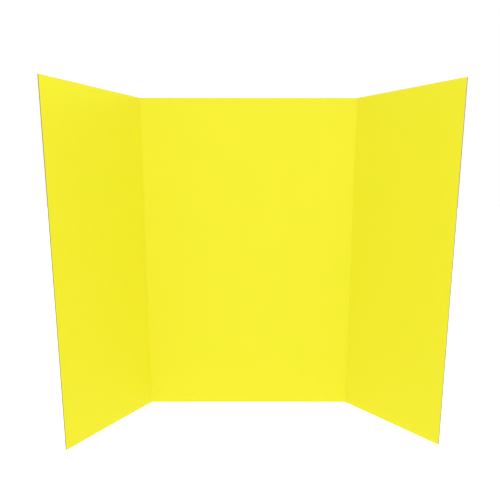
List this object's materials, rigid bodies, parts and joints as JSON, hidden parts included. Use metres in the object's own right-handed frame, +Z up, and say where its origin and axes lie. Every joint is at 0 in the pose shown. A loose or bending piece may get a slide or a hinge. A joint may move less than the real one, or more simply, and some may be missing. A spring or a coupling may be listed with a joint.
{
  "type": "tri-fold display board",
  "caption": "Free-standing tri-fold board of corrugated cardboard: a centre panel and two creased wings that fold in over it, yellow face, brown back.",
  "frame": {"origin": "the bottom edge of the centre panel, midway between the two folds, at its printed face", "axes": "+Z up, +X along the centre panel to the right as seen from in front, -Y out of the centre panel's printed face"},
  "size_m": [0.9713, 0.2604, 0.9144],
  "materials": {
    "yellow_face": "coated printed paper",
    "brown_liner": "uncoated kraft",
    "brown_medium": "uncoated fluting"
  },
  "bodies": {
    "centre_panel": {"centre_face_liner": "yellow_face", "centre_fluted_medium": "brown_medium", "centre_back_liner": "brown_liner"},
    "left_wing": {"left_wing_face_liner": "yellow_face", "left_wing_fluted_medium": "brown_medium", "left_wing_back_liner": "brown_liner"},
    "right_wing": {"right_wing_face_liner": "yellow_face", "right_wing_fluted_medium": "brown_medium", "right_wing_back_liner": "brown_liner"}
  },
  "joints": [
    {"name": "left_fold", "type": "hinge", "parent": "centre_panel", "child": "left_wing", "pos_m": [-0.3048, -0.00015, 0], "axis": [0, 0, 1], "range_deg": [-57.8, 122.2]},
    {"name": "right_fold", "type": "hinge", "parent": "centre_panel", "child": "right_wing", "pos_m": [0.3048, -0.00015, 0], "axis": [0, 0, -1], "range_deg": [-50.2, 129.8]}
  ]
}
